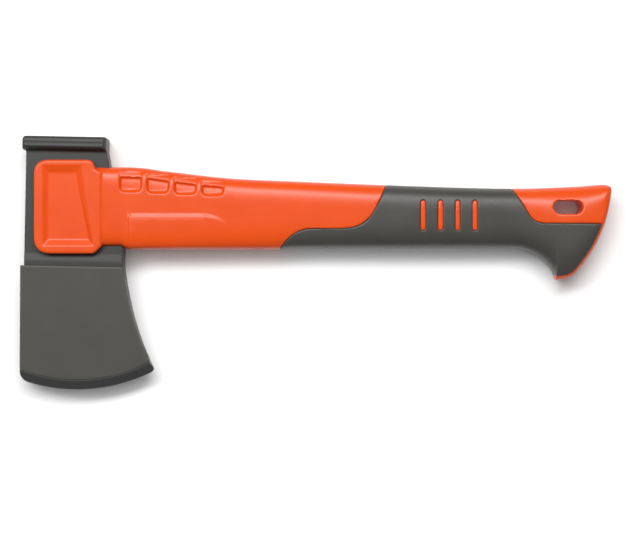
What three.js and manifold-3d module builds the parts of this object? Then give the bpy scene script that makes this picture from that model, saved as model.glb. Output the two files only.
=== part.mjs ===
// A one-hand hatchet lying on its side, in millimetres: a forged steel head, a glass-filled nylon
// handle moulded through and around it, a soft grip moulded over the handle, and a hard cover that
// pulls off the edge.
// +X runs from the head to the butt, +Y from the cutting edge to the poll, +Z up through the thickness.
// Every piece is drawn about the mid-plane, Z = 0, and the tool is set down on Z = 0 at the end.
import * as THREE from "three";
import { mergeVertices } from "three/addons/utils/BufferGeometryUtils.js";
import Module from "manifold-3d";

const wasm = await Module();
wasm.setup();

// Whole tool
const totalLength = 340; // toe side of the cover to the butt
const mouldGap = 0.3; // between two pieces moulded onto each other
const far = 200; // longer than any piece, for cutters
const overlap = 1; // how far solids that are joined reach into each other

// Steel head, drawn upright and then leaned towards the handle
const headTilt = 1.1; // degrees
const tiltCentre = new THREE.Vector2(30, 0);
const headToe = 3.3; // x of the toe side
const neckTopWidth = 46.2;
const neckWidth = 56.7; // at the shoulder
const neckThickness = 17;
const waistY = -17; // where the neck's heel side turns straight down
const pollLength = 48.1;
const pollHeight = 8;
const pollThickness = 26;
const pollOverhang = 1.9; // past the neck's toe side
const pollChamfer = 1.4;
const pollY = 38.5; // underside of the hammer poll
const shoulderY = -27.7; // where the blade begins
const shoulderThickness = 18;
const shoulderFlat = 3; // height that keeps the shoulder's thickness
const shoulderRamp = 4; // height over which it draws in to the neck
const bladeHeight = 67.8; // shoulder to the lowest point of the edge
const bladeEndThickness = 3.2; // of the wedge, before it is ground
const edgeRadius = 93.6;
const edgeCentreX = 32.7;
const edgeFlat = 0.4; // thickness left at the very edge
const edgeToeRound = 2.5;
const edgeHeelRound = 1.5;
const grindAngle = 15; // degrees on each side
const heelX = 77.6; // heel corner
const heelBow = 5; // how far the heel side's curve starts out sideways

// Window in the neck that keys the handle to the head: wide inside, narrower at its throat
const windowToe = 12;
const windowThroatX = 43;
const windowTop = 27.5;
const windowBottom = -14.5;
const throatTop = 21.5;
const throatBottom = -9;
const windowRadius = 4;
const throatRamp = 2; // length over which the window narrows

// Edge cover
const coverWall = 1.6;
const coverGap = 0.3;
const coverLip = 1.6; // that the faces reach past the blade's heel
const stripDepth = 5.5; // of the strip along the edge
const stripFloor = 3.1; // below the cutting edge
const stripProud = 0.35; // how far the strip stands out of the shell
const stripEndThickness = 4.4; // at the strip's lowest point
const stripAngle = 24; // degrees that its sides open at from there
const toeCorner = 5;
const heelCorner = 2.4;
const hollowCorner = 1; // of the hollow at the heel

// Cheek plates of the handle, over the neck
const cheekThickness = 28;
const cheekToe = 9;
const cheekTop = 33.1;
const cheekBottom = -20.7;
const cheekEndTop = 44;
const cheekEndBottom = 43.3;
const cheekRound = 1.2; // rounding of the plate's rim
const cheekReach = 4.5; // that the plate's lower end reaches into the shaft
const trayDepth = 1.6;
const trayRim = 5.1; // flat rim between the plate's edge and the tray, at the toe
const trayTopRim = 4.5;
const trayBottomRim = 5.4;
const traySlope = 2.9;
const trayEndTop = 32.8; // upper corner of the tray's floor
const trayEndBottom = 40.9; // its lower corner

// Shaft
const coreStart = 30; // end of the handle's own body, inside the head
const socketTop = 29;
const socketBottom = -16.4;
const shaftBottom = -18.4;
const shaftThickness = 25.2;
const panelHeight = 0.8; // raised panel on each side, below the pockets
const panelTop = 2.4;
const panelStart = 61.6;
const panelEnd = 120;
const pocketCount = 4;
const pocketPitch = 15.65;
const pocketWidth = 12.1;
const pocketStart = 58.3;
const pocketDepth = 4.2; // at its upper wall; the floor rises from there
const pocketShallow = 1.5; // depth at its lower end
const pocketInset = 5.9; // below the handle's upper edge
const pocketFloorY = 14.9;
const pocketStep = 0.75; // each pocket's lower end drops this much from the last
const pocketRadius = 3.4;
const smallRadius = 0.8; // of the pockets' upper corners and the trays' corners

// Grip and butt
const gripThickness = 27;
const waistThickness = 25;
const buttThickness = 27.7;
const gripTop = 18;
const gripBottom = -17.5;
const gripWall = 1.9; // soft layer over the core, with its gap
const rimLip = 0.4; // of the core's rim at the butt, beyond the soft layer's thickness
const gripFront = 191; // front tip of the grip, back from the butt
const gripRearY = -3.1; // height where its rear edge runs out to the butt's rim
const buttRadius = 76;
const buttTop = 19.4;
const buttSweep = 42.6; // degrees of the butt's arc
const buttRound = 5; // rounding of the butt's far end
const buttEase = 0.4; // share of that rounding which its upper and lower edges take
const leastHeight = 8; // of the handle's section at the hook's tip
const hookRadius = 28.5;
const hookSweep = 63.5; // degrees
const hookX = 57.3; // centre of the hook's arc, back from the butt
const hookDrop = 2.6; // height of the tip's blunt end
const hookLand = 4; // length of the bare nylon at the tip
const ribCount = 4;
const ribPitch = 9.9;
const ribWidth = 2.8;
const ribTop = 9.9;
const ribBottom = -7.5;
const ribStart = 108.3; // first rib's centre, back from the butt
const slotLength = 17; // hanging slot
const slotWidth = 8;
const slotX = 25.3; // its centre, back from the butt
const slotY = 5.95;

const halfNeck = neckThickness / 2;
const neckHeel = headToe + neckWidth;
const halfCheek = cheekThickness / 2;
const rimWidth = gripWall + rimLip;
const edgeCentre = new THREE.Vector2(edgeCentreX, shoulderY - bladeHeight + edgeRadius);
const coverRadius = edgeRadius + coverGap + stripFloor;
const point = (x, y) => new THREE.Vector2(x, y);
const radians = THREE.MathUtils.degToRad;

// --- solids from three.js geometry

// A closed geometry as a manifold-3d solid.
function solid(geometry) {
  const bare = geometry.index ? geometry.toNonIndexed() : geometry.clone();
  bare.deleteAttribute("normal");
  bare.deleteAttribute("uv");
  const merged = mergeVertices(bare, 1e-4);
  const triangles = [];
  for (let i = 0; i < merged.index.count; i += 3) {
    const [a, b, c] = merged.index.array.slice(i, i + 3);
    if (a !== b && b !== c && c !== a) triangles.push(a, b, c);
  }
  const vertProperties = merged.attributes.position.array;
  const triVerts = new Uint32Array(triangles);
  return new wasm.Manifold(new wasm.Mesh({ numProp: 3, vertProperties, triVerts }));
}

// A named mesh from a solid.
function mesh(name, made, material) {
  const { vertProperties, triVerts } = made.getMesh();
  const geometry = new THREE.BufferGeometry();
  geometry.setAttribute("position", new THREE.BufferAttribute(vertProperties, 3));
  geometry.setIndex(new THREE.BufferAttribute(triVerts, 1));
  geometry.computeVertexNormals();
  const piece = new THREE.Mesh(geometry, material);
  piece.name = name;
  return piece;
}

// An outline in XY pushed through Z, the same distance each side of the mid-plane.
function slab(outline, half) {
  const options = { depth: 2 * half, bevelEnabled: false };
  return solid(new THREE.ExtrudeGeometry(new THREE.Shape(outline), options).translate(0, 0, -half));
}

// An outline in YZ pushed along the whole of X.
function profile(outline) {
  const options = { depth: 2 * far, bevelEnabled: false };
  const geometry = new THREE.ExtrudeGeometry(new THREE.Shape(outline), options).translate(0, 0, -far);
  const turn = new THREE.Matrix4().makeBasis(
    new THREE.Vector3(0, 1, 0), new THREE.Vector3(0, 0, 1), new THREE.Vector3(1, 0, 0),
  );
  return solid(geometry.applyMatrix4(turn));
}

// A block whose thickness follows stations of y and half thickness, from low y to high y.
function tapered(stations) {
  const under = stations.map(([y, half]) => point(y, -half));
  const over = stations.map(([y, half]) => point(y, half)).reverse();
  return profile([...under, ...over]);
}

// A disc about the edge's centre. Its sides taper from the rim's half thickness at an angle in degrees.
function disc(radius, rimHalf, angle) {
  const height = rimHalf + radius * Math.tan(radians(angle));
  const half = [point(0, -height), point(radius, -rimHalf), point(radius, rimHalf), point(0, height)];
  const geometry = new THREE.LatheGeometry(half, 144).rotateX(Math.PI / 2);
  return solid(geometry.translate(edgeCentre.x, edgeCentre.y, 0));
}

// Leans a solid of the head towards the handle.
const leaned = (made) => made
  .translate([-tiltCentre.x, -tiltCentre.y, 0])
  .rotate([0, 0, -headTilt])
  .translate([tiltCentre.x, tiltCentre.y, 0]);

// --- outlines, all anticlockwise

// An outline moved inwards by a distance, or outwards by a negative one.
function inset(outline, distance) {
  return outline.map((corner, i) => {
    const into = corner.clone().sub(outline.at(i - 1)).normalize();
    const out = outline[(i + 1) % outline.length].clone().sub(corner).normalize();
    const reach = distance / (1 + into.dot(out));
    return point(corner.x - (into.y + out.y) * reach, corner.y + (into.x + out.x) * reach);
  });
}

// A polygon from corners of x, y and the radius that rounds them.
function rounded(corners, steps = 4) {
  return corners.flatMap(([x, y, radius], i) => {
    const corner = point(x, y);
    if (!radius) return [corner];
    const [beforeX, beforeY] = corners.at(i - 1);
    const [afterX, afterY] = corners[(i + 1) % corners.length];
    const before = point(beforeX, beforeY).sub(corner).normalize();
    const after = point(afterX, afterY).sub(corner).normalize();
    const reach = radius / Math.tan(before.angleTo(after) / 2);
    const start = corner.clone().addScaledVector(before, reach);
    const end = corner.clone().addScaledVector(after, reach);
    return new THREE.QuadraticBezierCurve(start, corner, end).getPoints(steps);
  });
}

// A slot with round ends, of this length along X or Y.
function pill(x, y, lengthX, lengthY) {
  const radius = Math.min(lengthX, lengthY) / 2;
  const flatX = lengthX / 2 - radius;
  const flatY = lengthY / 2 - radius;
  const turn = lengthY > lengthX ? 0 : Math.PI / 2;
  const path = new THREE.Path();
  path.absarc(x - flatX, y + flatY, radius, turn, turn + Math.PI, false);
  path.absarc(x + flatX, y - flatY, radius, turn + Math.PI, turn + 2 * Math.PI, false);
  return path.getPoints(4).slice(0, -1);
}

// Lowest line of the blade or cover at x, on an arc about the edge's centre.
const arcY = (radius, x) => edgeCentre.y - Math.sqrt(radius ** 2 - (x - edgeCentre.x) ** 2);

// Outline of the blade, its cover or the cover's hollow, with its upper side at top.
function bladeOutline({ toe, heel, radius, top, toeRound, heelRound }) {
  const angle = (x) => Math.atan2(arcY(radius, x) - edgeCentre.y, x - edgeCentre.x);
  const path = new THREE.Path();
  path.moveTo(toe, top);
  path.lineTo(toe, arcY(radius, toe) + toeRound);
  path.quadraticCurveTo(toe, arcY(radius, toe), toe + toeRound, arcY(radius, toe + toeRound));
  path.absarc(edgeCentre.x, edgeCentre.y, radius, angle(toe + toeRound), angle(heel - heelRound), false);
  const bow = point(neckHeel + heelBow, shoulderY - bladeHeight / 2);
  const heelEnd = point(heel, arcY(radius, heel));
  const rise = bow.clone().sub(heelEnd).setLength(heelRound).add(heelEnd);
  path.quadraticCurveTo(heelEnd.x, heelEnd.y, rise.x, rise.y);
  path.quadraticCurveTo(bow.x, bow.y, neckHeel, shoulderY);
  if (top > shoulderY) path.lineTo(neckHeel, top);
  return path.getPoints(12);
}

// --- the head and its cover, before they are leaned

// The steel, grown all round by a gap: blade, neck and hammer poll, without the window.
function headBlank(gap) {
  const bladeEnd = shoulderY - bladeHeight;
  const sides = bladeOutline({
    toe: headToe, heel: heelX, radius: edgeRadius, top: shoulderY + overlap,
    toeRound: edgeToeRound, heelRound: edgeHeelRound,
  });
  const neck = [
    point(headToe, shoulderY), point(neckHeel, shoulderY), point(neckHeel, waistY),
    point(headToe + neckTopWidth, pollY + overlap), point(headToe, pollY + overlap),
  ];
  const wedge = tapered([
    [bladeEnd - overlap, bladeEndThickness / 2 + gap],
    [shoulderY, shoulderThickness / 2 + gap],
    [shoulderY + shoulderFlat, shoulderThickness / 2 + gap],
    [shoulderY + shoulderFlat + shoulderRamp, halfNeck + gap],
    [far, halfNeck + gap],
  ]);
  const blade = slab(inset(sides, -gap), far).add(slab(inset(neck, -gap), far)).intersect(wedge);
  return blade.intersect(disc(edgeRadius + gap, edgeFlat / 2 + gap, grindAngle)).add(poll(gap));
}

// The hammer poll, a bar with chamfered edges.
function poll(gap) {
  const start = headToe - pollOverhang;
  const corners = [[0, 0], [pollLength, 0], [pollLength, pollHeight], [0, pollHeight]];
  const outline = corners.map(([x, y]) => point(start + x, pollY + y));
  const geometry = new THREE.ExtrudeGeometry(new THREE.Shape(outline), {
    depth: pollThickness - 2 * pollChamfer,
    bevelThickness: pollChamfer, bevelSize: pollChamfer, bevelSegments: 2,
    bevelOffset: gap - pollChamfer,
  });
  return solid(geometry.translate(0, 0, pollChamfer - pollThickness / 2));
}

// The window through the neck, open at its throat towards the handle.
function windowOutline() {
  const throat = windowThroatX + throatRamp;
  const out = neckHeel + throatRamp + mouldGap;
  return rounded([
    [windowToe, windowBottom, windowRadius], [windowThroatX, windowBottom, windowRadius],
    [throat, throatBottom, throatRamp / 2], [out, throatBottom, 0], [out, throatTop, 0],
    [throat, throatTop, throatRamp / 2], [windowThroatX, windowTop, windowRadius],
    [windowToe, windowTop, windowRadius],
  ], 3);
}

// The blade's wedge moved outwards by an offset, as stations for a tapered block.
const wedgeAround = (offset) => tapered([
  [shoulderY - bladeHeight - stripFloor - overlap, bladeEndThickness / 2 + offset],
  [shoulderY, shoulderThickness / 2 + offset],
  [far, shoulderThickness / 2 + offset],
]);

// The space inside the cover, open above and at the heel so that it pulls straight off the blade.
function coverHollow() {
  const hollow = bladeOutline({
    toe: headToe - coverGap, heel: heelX, radius: edgeRadius + coverGap, top: far,
    toeRound: edgeToeRound, heelRound: hollowCorner,
  });
  const inside = headToe + neckWidth / 2;
  const floor = arcY(edgeRadius + coverGap, heelX);
  const heelWay = [
    point(inside, shoulderY + overlap), point(inside, floor), point(far, floor),
    point(far, shoulderY + overlap),
  ];
  return slab(hollow, far).add(slab(heelWay, far)).intersect(wedgeAround(coverGap));
}

// The whole cover, with its faces offset from the blade's wedge.
function coverBlank(proud) {
  const outline = bladeOutline({
    toe: headToe - coverGap - coverWall, heel: heelX + coverLip, radius: coverRadius, top: shoulderY,
    toeRound: toeCorner, heelRound: heelCorner,
  });
  return slab(outline, far)
    .intersect(wedgeAround(coverGap + coverWall + proud))
    .intersect(disc(coverRadius, stripEndThickness / 2, stripAngle))
    .subtract(coverHollow());
}

// The two faces and the toe wall of the cover.
const coverShell = () => coverBlank(0).intersect(disc(coverRadius - stripDepth, far, 0));

// The strip that closes the cover along the cutting edge.
const coverStrip = () => coverBlank(stripProud)
  .subtract(disc(coverRadius - stripDepth + mouldGap, far, 0));

// --- the handle

const back = (distance) => totalLength - distance; // x of a place measured back from the butt
const hookCentre = point(back(hookX), gripBottom - hookRadius);
const tip = point(
  hookCentre.x + hookRadius * Math.sin(radians(hookSweep)),
  hookCentre.y + hookRadius * Math.cos(radians(hookSweep)) - hookDrop,
);

// Continues a path from the hook's tip round the butt, moved inwards by a width.
function drawButt(path, width) {
  const centre = point(back(buttRadius), buttTop);
  const start = -radians(buttSweep);
  const radius = buttRadius - width;
  const join = point(Math.cos(start), Math.sin(start)).multiplyScalar(radius).add(centre);
  const level = tip.y + width;
  path.quadraticCurveTo(join.x + (join.y - level) * Math.tan(start), level, join.x, join.y);
  path.absarc(centre.x, centre.y, radius, start, -radians(2), false);
}

// The handle's upper and lower edges, from the head to the butt.
const upperEdge = new THREE.SplineCurve([
  point(coreStart, socketTop), point(50, socketTop), point(68, socketTop - 0.1),
  point(86, socketTop - 2.4), point(121, gripTop + 4.8), point(161, gripTop + 2.9), point(back(104), gripTop),
  point(back(57.5), gripTop - 1.1), point(back(23), gripTop - 0.1), point(back(8), buttTop - 0.4),
  point(back(0), buttTop),
]).getPoints(160);

function drawLowerEdge() {
  const path = new THREE.Path();
  path.moveTo(coreStart, socketBottom);
  path.lineTo(neckHeel - 1, socketBottom);
  path.quadraticCurveTo(neckHeel + 1, shaftBottom, neckHeel + 6, shaftBottom);
  path.lineTo(back(gripFront), shaftBottom);
  path.quadraticCurveTo(back(gripFront - 4), gripBottom, back(gripFront - 12), gripBottom);
  path.lineTo(hookCentre.x, gripBottom);
  const hookEnd = Math.PI / 2 - radians(hookSweep);
  path.absarc(hookCentre.x, hookCentre.y, hookRadius, Math.PI / 2, hookEnd, true);
  path.lineTo(tip.x, tip.y);
  drawButt(path, 0);
  return path.getPoints(24);
}
const lowerEdge = drawLowerEdge();

// Half thickness, and how square the section is, along the handle.
const halfThickness = new THREE.SplineCurve([
  point(coreStart, halfCheek), point(45, halfCheek - 0.4), point(62, halfCheek - 1),
  point(130, shaftThickness / 2), point(170, shaftThickness / 2), point(back(95), gripThickness / 2),
  point(back(55), waistThickness / 2), point(back(22), buttThickness / 2), point(back(0), buttThickness / 2),
]).getPoints(120);
const squareness = [
  point(coreStart, 7), point(60, 6), point(125, 4.2), point(200, 3.6),
  point(back(60), 3.2), point(back(0), 3.4),
];

// Height of a line of points at x.
function heightAt(line, x) {
  const found = line.findIndex((p) => p.x >= x);
  const next = found < 0 ? line.length - 1 : Math.max(1, found);
  const [a, b] = [line[next - 1], line[next]];
  return b.x > a.x ? THREE.MathUtils.mapLinear(x, a.x, b.x, a.y, b.y) : b.y;
}

// Evenly spaced numbers from low to high.
function spread(low, high, count) {
  return Array.from({ length: count }, (_, i) => THREE.MathUtils.mapLinear(i, 0, count, low, high));
}

const tipStep = 0.2; // either side of the hook's tip, where the lower edge drops
const stations = [
  coreStart, ...spread(neckHeel - 2, neckHeel + 8, 4), ...spread(neckHeel + 8, back(gripFront + 4), 5),
  ...spread(back(gripFront + 4), hookCentre.x, 8), ...spread(hookCentre.x, tip.x - tipStep, 6),
  tip.x - tipStep, tip.x + tipStep, ...spread(tip.x + 2, back(buttRound), 6),
  ...spread(0, Math.PI / 2, 4).map((turn) => back(buttRound * (1 - Math.sin(turn)))), back(0),
];

// The handle's solid, grown all round: a unit cylinder drawn out to the section at each station.
function handleBody(grow, growThickness = grow) {
  const rows = stations.length - 1;
  const geometry = new THREE.CylinderGeometry(1, 1, 1, 20, rows).rotateZ(-Math.PI / 2);
  const vertices = geometry.attributes.position;
  for (let i = 0; i < vertices.count; i++) {
    const x = stations[Math.round((vertices.getX(i) + 0.5) * rows)];
    const high = heightAt(upperEdge, x);
    const low = Math.min(heightAt(lowerEdge, x), high - leastHeight);
    const endCut = Math.max(0, x - back(buttRound));
    const endShrink = buttRound - Math.sqrt(buttRound ** 2 - endCut ** 2);
    const halfHeight = (high - low) / 2 + grow - endShrink * buttEase;
    const half = heightAt(halfThickness, x) + growThickness - endShrink;
    const power = 2 / heightAt(squareness, x);
    const squared = (value) => Math.sign(value) * Math.abs(Number(value.toFixed(6))) ** power;
    vertices.setXYZ(
      i, x, (high + low) / 2 + halfHeight * squared(vertices.getY(i)), half * squared(vertices.getZ(i)),
    );
  }
  return solid(geometry);
}

// The part of the handle that the soft grip covers, seen from the side.
function gripOutline() {
  const front = back(gripFront);
  const path = new THREE.Path();
  path.moveTo(front - 6, -far);
  path.lineTo(front - 1, shaftBottom - 2);
  path.bezierCurveTo(front + 4, -12, front + 10, -6.3, front + 19, -6.2);
  path.lineTo(front + 37, -6.1);
  path.bezierCurveTo(front + 51, -5.8, front + 54, 3, front + 57.5, 9.2);
  path.lineTo(front + 64, 24);
  path.lineTo(front + 64, far);
  path.lineTo(back(62), far);
  path.lineTo(back(58.5), gripTop + 1);
  path.lineTo(back(52), 9.2);
  path.bezierCurveTo(back(46.5), 0.5, back(46), gripRearY, back(38), gripRearY);
  const butt = new THREE.Path();
  butt.moveTo(tip.x - 1, tip.y + rimWidth);
  drawButt(butt, rimWidth);
  const rim = butt.getPoints(7).filter((p) => p.y < gripRearY).reverse();
  const tipEnd = tip.x - hookLand;
  return [...path.getPoints(5), ...rim, point(tipEnd, tip.y + rimWidth), point(tipEnd, -far)].reverse();
}

// Centres of the ribs that show through the grip.
const ribs = Array.from({ length: ribCount }, (_, i) => back(ribStart) + i * ribPitch);
function ribOutline(x, grow) {
  return pill(x, (ribTop + ribBottom) / 2, ribWidth + 2 * grow, ribTop - ribBottom + 2 * grow);
}

function softGrip() {
  const layer = handleBody(0).subtract(handleBody(mouldGap - gripWall));
  const shaped = layer.intersect(slab(inset(gripOutline(), mouldGap), far));
  return ribs.reduce((made, x) => made.subtract(slab(ribOutline(x, mouldGap), far)), shaped);
}

// The plates over the neck, with rounded rims.
const cheekOutline = () => rounded([
  [cheekToe, cheekBottom, 9.5], [cheekEndBottom, cheekBottom, 3],
  [cheekEndBottom + cheekReach, socketBottom, 0], [cheekEndBottom + cheekReach, socketTop - 3, 0],
  [cheekEndTop, socketTop - 1, 0], [cheekEndTop - 1, cheekTop, 4.5], [cheekToe, cheekTop, 8.5],
]);

function cheeks() {
  const geometry = new THREE.ExtrudeGeometry(new THREE.Shape(cheekOutline()), {
    depth: cheekThickness - 2 * cheekRound,
    bevelThickness: cheekRound, bevelSize: cheekRound, bevelOffset: -cheekRound, bevelSegments: 2,
  });
  return solid(geometry.translate(0, 0, cheekRound - halfCheek));
}

// The shallow tray sunk in each cheek plate, with sloping sides.
function trays() {
  const toe = cheekToe + trayRim + traySlope;
  const low = cheekBottom + trayBottomRim + traySlope;
  const high = cheekTop - trayTopRim - traySlope;
  const floor = rounded([
    [toe, low, smallRadius], [trayEndBottom, low, smallRadius],
    [trayEndTop, high, smallRadius], [toe, high, smallRadius],
  ], 2);
  const options = { depth: 5, bevelThickness: trayDepth, bevelSize: traySlope, bevelSegments: 1 };
  const cutter = new THREE.ExtrudeGeometry(new THREE.Shape(floor), options);
  const upper = solid(cutter.translate(0, 0, halfCheek));
  return upper.add(upper.mirror([0, 0, 1]));
}

// The pockets below the upper edge, on both sides, deepest at their upper wall.
function pockets() {
  const made = Array.from({ length: pocketCount }, (_, i) => {
    const start = pocketStart + i * pocketPitch;
    const end = start + pocketWidth;
    const low = pocketFloorY - i * pocketStep;
    const high = heightAt(upperEdge, start) - pocketInset;
    const outline = rounded([
      [start, low, pocketRadius], [end, low, pocketRadius],
      [end, heightAt(upperEdge, end) - pocketInset, smallRadius], [start, high, smallRadius],
    ], 3);
    const surface = heightAt(halfThickness, (start + end) / 2);
    const above = profile([
      point(low, surface - pocketShallow), point(high, surface - pocketDepth),
      point(high, far), point(low, far),
    ]);
    const upper = slab(outline, far).intersect(above);
    return upper.add(upper.mirror([0, 0, 1]));
  });
  return wasm.Manifold.union(made);
}

// The panel raised on each side, down to the lower edge.
function panel() {
  const outline = rounded([
    [panelStart, -far, 0], [panelEnd + 4, -far, 0], [panelEnd, panelTop - 10, 0],
    [panelEnd - 7, panelTop, 8], [panelStart, panelTop, 2.5],
  ]);
  return handleBody(0, panelHeight).intersect(slab(outline, far));
}

// The nylon core: plates, shaft, butt and ribs as one moulding around the steel.
function handleCore() {
  const gripRegion = slab(gripOutline(), far);
  const outer = handleBody(0);
  const hollows = wasm.Manifold.union([trays(), pockets(), gripRegion]);
  const skin = outer.add(panel()).add(cheeks()).subtract(hollows);
  const ribBars = ribs.map((x) => outer.intersect(slab(ribOutline(x, 0), far)));
  const key = leaned(slab(inset(windowOutline(), mouldGap), halfNeck + overlap))
    .intersect(outer.add(cheeks()));
  const throughHead = wasm.Manifold.union([skin, handleBody(-gripWall), ...ribBars])
    .subtract(leaned(headBlank(mouldGap)))
    .add(key);
  return throughHead.subtract(slab(pill(back(slotX), slotY, slotLength, slotWidth), far));
}

// --- materials and the assembled tool

const coatedSteel = new THREE.MeshStandardMaterial({ color: 0x5a5854, roughness: 0.5, metalness: 0.4 });
const orangeNylon = new THREE.MeshStandardMaterial({ color: 0xf45f28, roughness: 0.42, metalness: 0 });
const softRubber = new THREE.MeshStandardMaterial({ color: 0x4b4945, roughness: 0.6, metalness: 0 });
const coverPlastic = new THREE.MeshStandardMaterial({ color: 0x565450, roughness: 0.55, metalness: 0 });
const stripPlastic = new THREE.MeshStandardMaterial({ color: 0x414141, roughness: 0.6, metalness: 0 });

const hatchet = new THREE.Group();
const steelHead = headBlank(0).subtract(slab(windowOutline(), far));
hatchet.add(mesh("steel_head", leaned(steelHead), coatedSteel));
hatchet.add(mesh("handle_core", handleCore(), orangeNylon));
hatchet.add(mesh("soft_grip", softGrip(), softRubber));
hatchet.add(mesh("cover_shell", leaned(coverShell()), coverPlastic));
hatchet.add(mesh("cover_edge_strip", leaned(coverStrip()), stripPlastic));

// Origin under the middle of the tool, on the surface that it lies on.
const bounds = new THREE.Box3().setFromObject(hatchet);
const middle = bounds.getCenter(new THREE.Vector3());
hatchet.position.set(-middle.x, -middle.y, -bounds.min.z);

export default hatchet;
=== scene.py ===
"""A one-hand hatchet lying on its side: its pieces, their finishes and the stage they are seen on."""

import math

import bmesh
import bpy
from bpy.props import FloatProperty, FloatVectorProperty, IntProperty, PointerProperty
from mathutils import Matrix, Vector
from mathutils.geometry import interpolate_bezier


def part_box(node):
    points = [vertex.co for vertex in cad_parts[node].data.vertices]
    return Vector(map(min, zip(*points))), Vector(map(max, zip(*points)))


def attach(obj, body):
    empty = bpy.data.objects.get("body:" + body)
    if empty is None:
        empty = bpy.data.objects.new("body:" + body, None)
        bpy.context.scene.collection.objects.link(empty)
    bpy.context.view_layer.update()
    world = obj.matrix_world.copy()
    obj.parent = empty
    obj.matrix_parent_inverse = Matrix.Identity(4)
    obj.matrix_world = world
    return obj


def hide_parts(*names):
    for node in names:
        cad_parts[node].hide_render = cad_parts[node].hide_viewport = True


bl_info = {
    "name": "Hatchet maker",
    "version": (1, 0, 0),
    "blender": (4, 5, 0),
    "location": "View3D > Sidebar > Hatchet",
    "description": "Makes a hatchet with an edge cover around its packed frame",
    "category": "Object",
}

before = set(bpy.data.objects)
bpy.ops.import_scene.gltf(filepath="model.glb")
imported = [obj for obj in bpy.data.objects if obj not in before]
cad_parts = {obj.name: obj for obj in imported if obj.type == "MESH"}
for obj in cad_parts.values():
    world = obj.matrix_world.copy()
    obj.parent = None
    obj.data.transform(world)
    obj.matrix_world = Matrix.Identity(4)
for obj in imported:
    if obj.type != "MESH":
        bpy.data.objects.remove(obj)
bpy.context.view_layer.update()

# Pieces are drawn in millimetres, with the toe of the cover at X = 0 and the mid-plane at Z = 0.
MM = 0.001
FAR = 200.0

# Head, drawn upright and then leaned towards the handle
HEAD_TILT = math.radians(1.1)
TILT_CENTRE = Vector((30, 0, 0))
HEAD_TOE = 3.3
NECK_TOP_WIDTH = 46.2
NECK_WIDTH = 56.7
NECK_HALF = 8.5
WAIST_Y = -17
POLL_LENGTH = 48.1
POLL_HEIGHT = 8
POLL_HALF = 13
POLL_OVERHANG = 1.9
POLL_CHAMFER = 1.8
POLL_Y = 38.5
SHOULDER_Y = -27.7
SHOULDER_HALF = 9
BLADE_HEIGHT = 67.8
BLADE_END_HALF = 1.6
EDGE_RADIUS = 93.6
EDGE_FLAT = 0.4
GRIND_ANGLE = math.radians(15)
HEEL_X = 77.6
EDGE_TOE_ROUND = 2.5
EDGE_HEEL_ROUND = 1.5
HOLLOW_HEEL_ROUND = 1
SHOULDER_FLAT = 3
SHOULDER_RAMP = 4
GROUND_RADIUS = 88.3
HEEL_BOW = 5
WINDOW = [(12, -14.5), (43, -14.5), (45, -9), (66, -9), (66, 21.5), (45, 21.5), (43, 27.5), (12, 27.5)]
EDGE_CENTRE = Vector((32.7, SHOULDER_Y - BLADE_HEIGHT + EDGE_RADIUS, 0))

# Cover over the blade
COVER_WALL = 1.6
COVER_GAP = 0.3
COVER_LIP = 1.6
COVER_FLOOR = 3.1
COVER_RADIUS = EDGE_RADIUS + COVER_GAP + COVER_FLOOR
BAND_DEPTH = 5.5
BAND_PROUD = 0.35
BAND_END_HALF = 2.2
BAND_ANGLE = math.radians(24)
TOE_CORNER = 5
HEEL_CORNER = 2.4

# Handle
TOTAL_LENGTH = 340
CORE_START = 30
CHEEK_HALF = 14
CHEEK_TOE = 9
CHEEK_TOP = 33.1
CHEEK_BOTTOM = -20.7
CHEEK_END_TOP = 44
CHEEK_END_BOTTOM = 43.3
CHEEK_REACH = 4.5
TRAY_MOUTH = [(14.1, -16.4), (43.2, -16.4), (36.6, 30.0), (14.1, 30.0)]
TRAY_FLOOR = [(17.1, -12.6), (40.6, -12.6), (32.8, 25.9), (17.1, 25.9)]
SOCKET_TOP = 29
SOCKET_BOTTOM = -16.4
SHAFT_BOTTOM = -18.4
GRIP_TOP = 18
GRIP_BOTTOM = -17.5
GRIP_WALL = 1.9
MOULD_GAP = 0.3
RIM_WIDTH = GRIP_WALL + 0.4
GRIP_FRONT = TOTAL_LENGTH - 191
BUTT_RADIUS = 76
BUTT_TOP = 19.4
BUTT_SWEEP = math.radians(42.6)
BUTT_ROUND = 5
BUTT_EASE = 0.4
LEAST_HEIGHT = 8
HOOK_RADIUS = 28.5
HOOK_SWEEP = math.radians(63.5)
HOOK_DROP = 2.6
RIB_PITCH = 9.9
RIB_START = TOTAL_LENGTH - 108.3
RIB_MIDDLE = 1.2
RIB_LENGTH = 17.4
RIB_WIDTH = 2.8
POCKET_START = 58.3
POCKET_PITCH = 15.65
POCKET_WIDTH = 12.1
POCKET_LOW = 14.9
POCKET_STEP = 0.75
POCKET_INSET = 5.9
POCKET_DEPTH = 4.2
POCKET_SHALLOW = 1.5
SURROUND_DEPTH = 0.45
SURROUND_SIDE = 0.8
SURROUND_RISE = 3.4
PANEL_START = 62.6
PANEL_BEND = 104
PANEL_END = 121
PANEL_FADE = 108
PANEL_TOP = 2.3
PANEL_DROP = 9
PANEL_DRAFT = 1.9
SLOT_X = TOTAL_LENGTH - 25.3
SLOT_Y = 5.95
SLOT_LENGTH = 17
SLOT_WIDTH = 8


def place():
    """Matrix from the drawn millimetres to the frame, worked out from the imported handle."""
    low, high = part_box("handle_core")
    shift = Vector((low.x / MM - CHEEK_TOE, high.y / MM - CHEEK_TOP, high.z / MM / 2))
    return Matrix.Scale(MM, 4) @ Matrix.Translation(shift)


def lean():
    """Matrix that leans the upright head and cover towards the handle."""
    there = Matrix.Translation(TILT_CENTRE)
    return there @ Matrix.Rotation(-HEAD_TILT, 4, "Z") @ there.inverted()


# ---------------------------------------------------------------- outlines


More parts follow.
